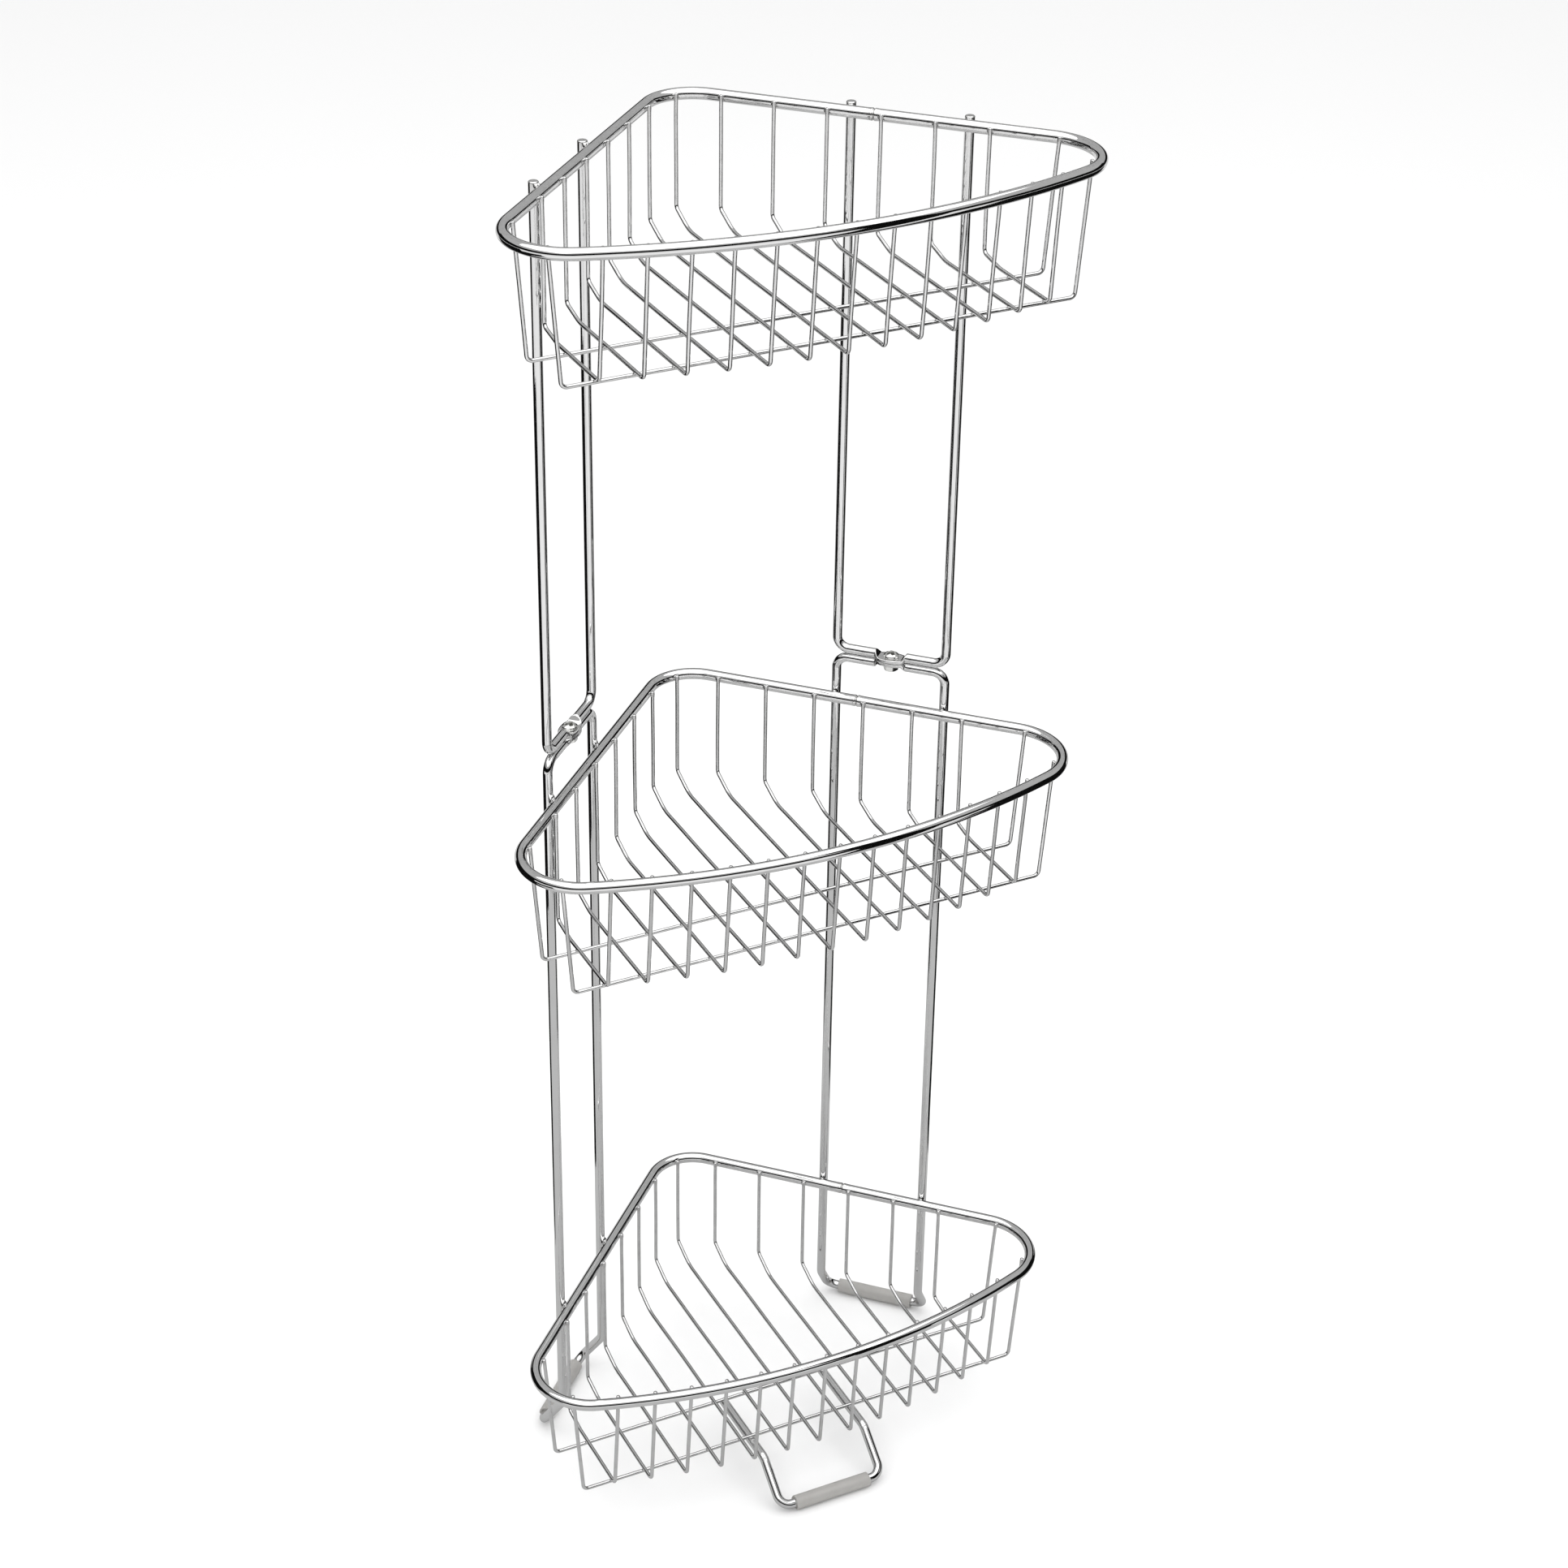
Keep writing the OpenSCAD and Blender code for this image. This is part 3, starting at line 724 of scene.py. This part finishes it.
# A cut tube: the profile runs out along the outside, round the lip and back inside, and
# is turned about the axis. Its cut ends wander by the sum of two sines of the angle, and
# its outside is drawn in by two more, of the length and of both.
def sleeveTube(name, centre, way):
    v = sleeveValues
    phase = random.uniform(0, 2 * np.pi, 4)
    n = 48
    k = np.linspace(0, 2 * np.pi, n, endpoint=False)
    reach = v["length"] / 2
    lip = np.linspace(0, np.pi / 2, 5)
    outerX = np.concatenate([np.linspace(-reach + v["lip"], reach - v["lip"], 40),
                             reach - v["lip"] + v["lip"] * np.sin(lip)[1:],
                             np.linspace(reach, -reach, 30),
                             -reach + v["lip"] - v["lip"] * np.cos(lip)[:-1]])
    outerR = np.concatenate([np.full(40, v["outer"]),
                             v["outer"] - v["lip"] * (1 - np.cos(lip))[1:],
                             np.full(30, v["bore"]),
                             v["outer"] - v["lip"] * (1 - np.sin(lip))[:-1]])
    x = outerX[:, None] * np.ones(n)
    ragged = np.sin(2 * k + phase[0]) * 0.6 + np.sin(5 * k + phase[1]) * 0.4
    nearEnd = smooth(0.6, 1.0, np.abs(x) / reach)
    x = x - np.sign(x) * nearEnd * v["ragged"] * (1 + ragged)
    r = outerR[:, None] * np.ones(n)
    outside = (outerR > v["bore"] + 1e-6)[:, None]
    along, around = v["rippleTurns"]
    r = r - outside * v["ripple"] * (0.5 + 0.25 * np.sin(x * along + phase[2])
                                     + 0.25 * np.sin(3 * k + x * around + phase[3]))
    way = unit(way)
    side = unit(np.cross([0, 0, 1.0], way))
    rings = (np.asarray(centre) + x[..., None] * way + (r * np.cos(k))[..., None] * side
             + (r * np.sin(k))[..., None] * np.array([0, 0, 1.0]))
    quads = ringFaces(len(rings), n, True)[0]
    piece = makePiece(name, rings.reshape(-1, 3), quads.tolist())
    # the bore turns back on itself, so the winding is checked by the mesh's own volume
    return outwardFaces(piece)


# Turns every face round if the mesh's signed volume is negative
def outwardFaces(piece):
    mesh = piece.data
    mesh.calc_loop_triangles()
    tri = np.empty(len(mesh.loop_triangles) * 3, np.int32)
    mesh.loop_triangles.foreach_get("vertices", tri)
    co = np.empty(len(mesh.vertices) * 3, np.float32)
    mesh.vertices.foreach_get("co", co)
    t = co.reshape(-1, 3)[tri.reshape(-1, 3)].astype(float)
    t = t - t.reshape(-1, 3).mean(0)
    if np.einsum("ij,ij->i", t[:, 0], np.cross(t[:, 1], t[:, 2])).sum() < 0:
        mesh.flip_normals()
    return piece


for side, hand in walls:
    centre = atWall(side, [0, frameValues["kickOut"], footZ])
    piece = sleeveTube(hand + "_footSleeve", centre, wallWay(side, [1.0, 0, 0]))
    finishPiece(piece, vinyl, "caddy", "clear_sleeve", hand + "_sleeve")
piece = sleeveTube("front_footSleeve", [0, barY, footZ], [1.0, 0, 0])
finishPiece(piece, vinyl, "caddy", "clear_sleeve", "front_sleeve")
print("sleeves made")


# the recess mark's strength, 2.6, sets how dark shade is painted into the cross recess
screwValues = {"shank": 1.95 * mm, "length": 8 * mm, "pitch": 0.7 * mm, "thread": 0.32 * mm,
               "head": 4 * mm, "headHeight": 2.6 * mm, "recessLong": 2.5 * mm,
               "recessWide": 0.85 * mm, "recessDeep": 1.8 * mm, "recessPaintedShade": 2.6,
               "recessCore": (0.5 * mm, 1.15 * mm), "dome": 0.97, "domeDrop": 0.52,
               "seatGap": 0.05 * mm, "neck": 0.6 * mm, "point": 0.7 * mm,
               "sharpAngle": 50}
nutValues = {"flats": 7 * mm, "height": 3.2 * mm, "bore": 2.0 * mm, "chamfer": 0.4 * mm,
             "coneStart": 0.985, "coneSpread": 1.05, "thread": 0.3 * mm,
             "flare": 0.25 * mm, "flareDepth": 0.35 * mm, "sharpAngle": 28}
eyeTop = frameValues["eyeThick"] + screwValues["seatGap"]


# Height of a thread's ridge at an angle k and a height z: a rounded saw of
# z/pitch - k/2pi, 0 in the groove and 1 on the ridge
def ridge(k, z):
    t = (z / screwValues["pitch"] - k / (2 * np.pi)) % 1.0
    return 1 - np.abs(2 * t - 1) ** 1.3


# Pan-head screw, as rings about its axis: the domed head with a cross recess sunk in
# it, the rim, the flat underside, and the shank with its thread.
def screwPiece(name, centre):
    v = screwValues
    n = 144
    k = np.linspace(0, 2 * np.pi, n, endpoint=False)
    base = centre[2] + eyeTop
    t = np.linspace(0.015, 1, 64)
    r = (v["head"] * v["dome"] * np.sin(t * np.pi / 2))[:, None] * np.ones(n)
    dome = v["headHeight"] * (1 - v["domeDrop"] * (r / v["head"]) ** 2.6)
    x, y = np.abs(r * np.cos(k)), np.abs(r * np.sin(k))
    # 1 in the cross with its soft edges and in the round core at its middle
    slot = np.maximum(
        (1 - smooth(v["recessWide"] * 0.7, v["recessWide"] * 1.25, np.minimum(x, y)))
        * (1 - smooth(v["recessLong"] * 0.55, v["recessLong"] * 1.1, np.maximum(x, y))),
        1 - smooth(*v["recessCore"], np.hypot(x, y)))
    head = np.stack([r * np.cos(k), r * np.sin(k), dome - slot * v["recessDeep"]], -1)
    edge = np.linspace(0, np.pi, 12)[1:-1]
    low = v["headHeight"] * (1 - v["domeDrop"])
    sideR = v["head"] * (v["dome"] + (1 - v["dome"]) * np.sin(edge))[:, None] * np.ones(n)
    sideZ = (low / 2 * (1 + np.cos(edge)))[:, None] * np.ones(n)
    rim = np.stack([sideR * np.cos(k), sideR * np.sin(k), sideZ], -1)
    under = np.linspace(v["head"] * 0.96, v["shank"] + 0.1 * mm, 5)[:, None] * np.ones(n)
    flat = np.stack([under * np.cos(k), under * np.sin(k), np.zeros_like(under)], -1)
    z = np.linspace(-0.02 * mm, -v["length"], 150)[:, None] * np.ones(n)
    ends = smooth(0, v["neck"], -z) * smooth(v["length"], v["length"] - v["point"], -z)
    shank = v["shank"] - v["thread"] * (1 - ridge(k, z + base) * ends)
    bolt = np.stack([shank * np.cos(k), shank * np.sin(k), z], -1)
    rings = np.concatenate([head, rim, flat, bolt]) + np.array([centre[0], centre[1], base])
    # the cross recess and its core carry a strong mark, which the zinc's shader turns near black:
    # painted shade in the recess
    paintedRecessShade = np.zeros(rings.shape[:2])
    paintedRecessShade[:len(slot)] = np.clip(slot, 0, 1) * v["recessPaintedShade"]
    piece = gridPiece(name, rings, np.linspace(0, 0.02, len(rings)), False, paintedRecessShade)
    outwardFaces(piece)
    piece.data.set_sharp_from_angle(angle=math.radians(v["sharpAngle"]))
    return piece


# Hexagon nut: a ring profile carried round, whose outer radius is the hexagon's
# (w/2) / cos(angle from the middle of a flat), cut by the chamfer's cone, and whose bore
# carries the thread and flares at both ends.
def nutPiece(name, centre, turn):
    v = nutValues
    n = 216
    k = np.linspace(0, 2 * np.pi, n, endpoint=False)
    hexagon = v["flats"] / 2 / np.cos((k - turn) % (np.pi / 3) - np.pi / 6)
    top = centre[2] - eyeTop
    low = top - v["height"]
    trims = np.linspace(0, 1, 9)
    cornerHeight = v["flats"] / math.sqrt(3) - v["flats"] / 2
    cones = v["flats"] / 2 * v["coneStart"] + cornerHeight * v["coneSpread"] * trims
    rows = [(np.minimum(hexagon, cone), low + v["chamfer"] * trim)
            for cone, trim in zip(cones, trims)]
    rows += [(np.minimum(hexagon, cone), top - v["chamfer"] * trim)
             for cone, trim in zip(cones[::-1], trims[::-1])]
    for z in np.linspace(top, low, 60):
        depth = v["flareDepth"]
        flare = v["flare"] * (smooth(depth, 0, top - z) + smooth(depth, 0, z - low))
        rows.append((v["bore"] + v["thread"] * (1 - ridge(k, np.full(n, z))) + flare, z))
    rings = np.stack([np.stack([r * np.cos(k) + centre[0], r * np.sin(k) + centre[1],
                                np.full(n, z)], -1) for r, z in rows])
    quads = ringFaces(len(rings), n, True)[0]
    piece = outwardFaces(makePiece(name, rings.reshape(-1, 3), quads.tolist()))
    piece.data.set_sharp_from_angle(angle=math.radians(v["sharpAngle"]))
    return piece


for side, hand in walls:
    piece = screwPiece(hand + "_panScrew", eyeCentre[hand])
    finishPiece(piece, zinc, hand + "_screw", "zinc_hardware", hand + "_screw")
    piece = nutPiece(hand + "_hexNut", eyeCentre[hand], side * math.pi / 4)
    finishPiece(piece, zinc, hand + "_nut", "zinc_hardware", hand + "_nut")
print("screws and nuts made")


weldValues = {"legs": (1.35 * mm, 0.9 * mm, 1.45 * mm), "cross": (0.9 * mm, 0.9 * mm, 0.5 * mm),
              "frames": (1.5 * mm, 1.1 * mm, 2.6 * mm), "lump": 0.16, "workedAndShade": 0.6,
              "legIn": 0.8 * mm, "legLift": 0.3 * mm, "frameIn": 2.4 * mm,
              "frameLift": 1.4 * mm, "topLift": 0.1 * mm, "cornerHalf": 10 * mm}


# Small lumps of weld metal, all of a tier's in one piece. Each is an ellipsoid
# (a cos p cos k, b cos p sin k, c sin p), with its radius varied by two sines.
def weldLumps(name, places, sizes, turns):
    n, m = 12, 9
    k = np.linspace(0, 2 * np.pi, n, endpoint=False)
    p = np.linspace(-np.pi / 2, np.pi / 2, m)[1:-1]
    places, sizes, turns = np.array(places), np.array(sizes), np.array(turns)
    phase = random.uniform(0, 2 * np.pi, (len(places), 2))
    lump = 1 + weldValues["lump"] * (
        np.sin(2 * k + phase[:, :1])[:, None, :] * 0.6
        + np.sin(3 * p[:, None] + k + phase[:, 1:, None]) * 0.4)
    shape = np.stack([np.cos(p)[:, None] * np.cos(k), np.cos(p)[:, None] * np.sin(k),
                      np.sin(p)[:, None] * np.ones(n)], -1)
    local = shape[None] * lump[..., None] * sizes[:, None, None, :]
    poles = sizes[:, None, :] * np.array([[0, 0, -1.0], [0, 0, 1.0]])
    local = np.concatenate([local.reshape(len(places), -1, 3), poles], 1)
    c, d = np.cos(turns)[:, None], np.sin(turns)[:, None]
    turned = np.stack([local[..., 0] * c - local[..., 1] * d,
                       local[..., 0] * d + local[..., 1] * c, local[..., 2]], -1)
    verts = (turned + places[:, None, :]).reshape(-1, 3)
    rows = m - 2
    parts = (ringFaces(rows, n, False)[0], *endFaces(rows, n))
    faces = []
    for q in range(len(places)):
        for part in parts:
            faces += (part + q * (rows * n + 2)).tolist()
    # the lumps carry the mark as well: darker, as painted shade where they sit between the wires
    return makePiece(name, verts, faces, marks=np.full(len(verts), weldValues["workedAndShade"]))


for tier in tiers:
    z = rimZ[tier]
    lift = weldValues["topLift"] if tier == "top" else weldValues["frameLift"]
    legZ = z + weldValues["legLift"]
    lumps = []
    for n in range(1, wireValues["count"] + 1):
        x = (n - 1 - outermost) * wireValues["pitch"]
        back, front = backLegY(x), frontLegY(x)
        onWall = abs(x) > weldValues["cornerHalf"]
        slant = -math.copysign(math.pi / 4, x) if onWall else 0.0
        lumps.append(([x, back + weldValues["legIn"], legZ], weldValues["legs"], slant))
        lumps.append(([x, front - weldValues["legIn"], legZ], weldValues["legs"],
                      math.asin(x / rimValues["bow"])))
        for y in (rearY, foreY):
            if front + wireValues["frontLean"] < y < back - wireValues["slopeRun"]:
                under = z - wireValues["depth"] - wireValues["radius"]
                lumps.append(([x, y, under], weldValues["cross"], 0.0))
    for side, _ in walls:
        for x in (-1, 1):
            at = [x * frameValues["width"] / 2, -weldValues["frameIn"], z + lift]
            lumps.append((atWall(side, at), weldValues["frames"], side * math.pi / 4))
    piece = weldLumps(tier + "_weldLumps", *zip(*lumps))
    finishPiece(piece, basketChrome, "caddy", "chrome_wire")
print("welds made")


stageValues = {"floor": (0.92, 0.92, 0.92, 1), "floorShade": 0.985, "floorSize": 60.0,
               "floorDrop": 0.3 * mm, "sky": 0.92, "skyInChrome": 0.44, "lightSize": 4.0,
               "lightPower": 52.0, "lightPlace": (-0.35, -0.75, 2.6)}


# Pale matt floor: one grey, a little darker in broad patches of noise
def floorMaterial():
    material = bpy.data.materials.new("paleFloor")
    material.use_nodes = True
    tree = material.node_tree
    shader = tree.nodes["Principled BSDF"]
    shader.inputs["Roughness"].default_value = 0.9
    shader.inputs["Specular IOR Level"].default_value = 0.1
    coords = tree.nodes.new("ShaderNodeTexCoord")
    cloud = noiseOf(tree, coords.outputs["Object"], 1.5, 3, 0.5)
    pale = stageValues["floor"]
    lower = tuple(c * stageValues["floorShade"] for c in pale[:3]) + (1,)
    tree.links.new(mixColour(tree, cloud, pale, lower), shader.inputs["Base Color"])
    return material


size, drop = stageValues["floorSize"] / 2, -stageValues["floorDrop"]
floor = makePiece("floorSheet", [[-size, -size, drop], [size, -size, drop],
                                 [size, size, drop], [-size, size, drop]], [[0, 1, 2, 3]])
floor.data.materials.append(floorMaterial())
floor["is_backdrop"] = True
floor.visible_glossy = False  # reflections see the cards below in its place


# A matt grey without any shine
def cardMaterial(name, grey):
    material = bpy.data.materials.new(name)
    material.use_nodes = True
    shader = material.node_tree.nodes["Principled BSDF"]
    shader.inputs["Base Color"].default_value = (grey, grey, grey, 1)
    shader.inputs["Roughness"].default_value = 1.0
    shader.inputs["Specular IOR Level"].default_value = 0.0
    return material


# A card seen only in reflections: a strip bent about the caddy's axis, from one compass
# angle to another. It stands where its two edges differ in height, and lies flat where
# they differ in radius. A point is (r sin k, -r cos k, z).
def glossCard(name, fromDegrees, toDegrees, nearEdge, farEdge, material):
    n = 48
    k = np.radians(np.linspace(fromDegrees, toDegrees, n))
    verts = np.vstack([np.column_stack([r * np.sin(k), -r * np.cos(k), np.full(n, z)])
                       for r, z in (nearEdge, farEdge)])
    j = np.arange(n - 1)
    faces = np.stack([j, j + 1, j + n + 1, j + n], 1).tolist()
    piece = makePiece(name, verts, faces)
    piece.data.materials.append(material)
    piece.visible_camera = False
    piece.visible_diffuse = False
    piece.visible_shadow = False
    piece.visible_transmission = False
    piece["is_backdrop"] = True


# each card's two compass angles, then the radius and height of its two edges, and its
# grey; the cards that lie on the floor are a fraction of a millimetre above one another
greys = {"dark": 0.004, "back": 0.32, "near": 0.40, "far": 0.66}
layer1, layer2, layer3, layer4 = 0.1 * mm, 0.2 * mm, 0.4 * mm, 0.6 * mm
inner, outer = 0.66, 1.6
cardValues = {
    "nearFloorCard": (0, 360, (0.0, layer2), (inner, layer2), "near"),
    "farFloorCard": (0, 360, (inner, layer1), (7.0, layer1), "far"),
    "backFloorCard": (104, 202, (inner, layer3), (outer, layer3), "near"),
    "backStandingCard": (104, 202, (outer, 1.05), (outer, 2.5), "back"),
    "sideFloorCardRight": (46, 104, (inner, layer3), (outer, layer3), "dark"),
    "sideFloorCardLeft": (-158, -72, (inner, layer3), (outer, layer3), "dark"),
    "sideNearCardRight": (56, 104, (0.28, layer3), (inner, layer3), "dark"),
    "sideNearCardLeft": (-158, -104, (0.28, layer3), (inner, layer3), "dark"),
    "sideCardRight": (48, 100, (0.95, 0.0), (0.95, 0.60), "dark"),
    "sideCardLeft": (-152, -100, (0.95, 0.0), (0.95, 0.60), "dark"),
    "frontFloorCard": (23, 38, (0.50, layer4), (0.80, layer4), "dark"),
    "frontCard": (23, 38, (0.80, 0.0), (0.80, 1.25), "dark"),
    "skyline": (0, 360, (6.0, 0.2), (6.0, 2.8), "dark")}
cardGreys = {shade: cardMaterial(shade + "Card", grey) for shade, grey in greys.items()}
for name, (start, end, nearEdge, farEdge, shade) in cardValues.items():
    glossCard(name, start, end, nearEdge, farEdge, cardGreys[shade])

world = bpy.data.worlds.new("studioSky")
bpy.context.scene.world = world
world.use_nodes = True
background = world.node_tree.nodes["Background"]
background.inputs["Color"].default_value = (1, 1, 1, 1)
# reflections see a darker sky than everything else does
rays = world.node_tree.nodes.new("ShaderNodeLightPath")
dimmed = calc(world.node_tree, "MULTIPLY", rays.outputs["Is Glossy Ray"],
              stageValues["skyInChrome"] - stageValues["sky"])
world.node_tree.links.new(calc(world.node_tree, "ADD", dimmed, stageValues["sky"]),
                          background.inputs["Strength"])


# A square soft light that shines straight down
light = bpy.data.lights.new("overheadLight", "AREA")
light.shape = "SQUARE"
light.size = stageValues["lightSize"]
light.energy = stageValues["lightPower"]
lamp = bpy.data.objects.new("overheadLight", light)
lamp.location = stageValues["lightPlace"]
bpy.context.scene.collection.objects.link(lamp)
print("stage made")


cameraValues = {"azimuth": -26.753, "elevation": 30.033, "roll": 0.982,
                "distance": 1.651, "target": (0.0016, -0.0262, 0.4086), "lens": 75.67,
                "sensor": 36.0, "clip": (0.05, 50.0)}


# Looks at the target from the given compass angle and height, and leans by the roll
def addCamera():
    v = cameraValues
    a, e, r = (math.radians(v[key]) for key in ("azimuth", "elevation", "roll"))
    ahead = np.array([-math.sin(a) * math.cos(e), math.cos(a) * math.cos(e), -math.sin(e)])
    level = np.array([math.cos(a), math.sin(a), 0.0])
    over = np.cross(level, ahead)
    right = level * math.cos(r) + over * math.sin(r)
    top = -level * math.sin(r) + over * math.cos(r)
    data = bpy.data.cameras.new("camera")
    data.lens, data.sensor_width = v["lens"], v["sensor"]
    data.clip_start, data.clip_end = v["clip"]
    camera = bpy.data.objects.new("camera", data)
    place = np.asarray(v["target"]) - ahead * v["distance"]
    stand = np.vstack([np.column_stack([right, top, -ahead, place]), [0, 0, 0, 1]])
    camera.matrix_world = Matrix(stand.tolist())
    bpy.context.scene.collection.objects.link(camera)
    bpy.context.scene.camera = camera


addCamera()
bpy.context.scene.view_settings.view_transform = "Standard"
low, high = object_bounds()
print("camera set")
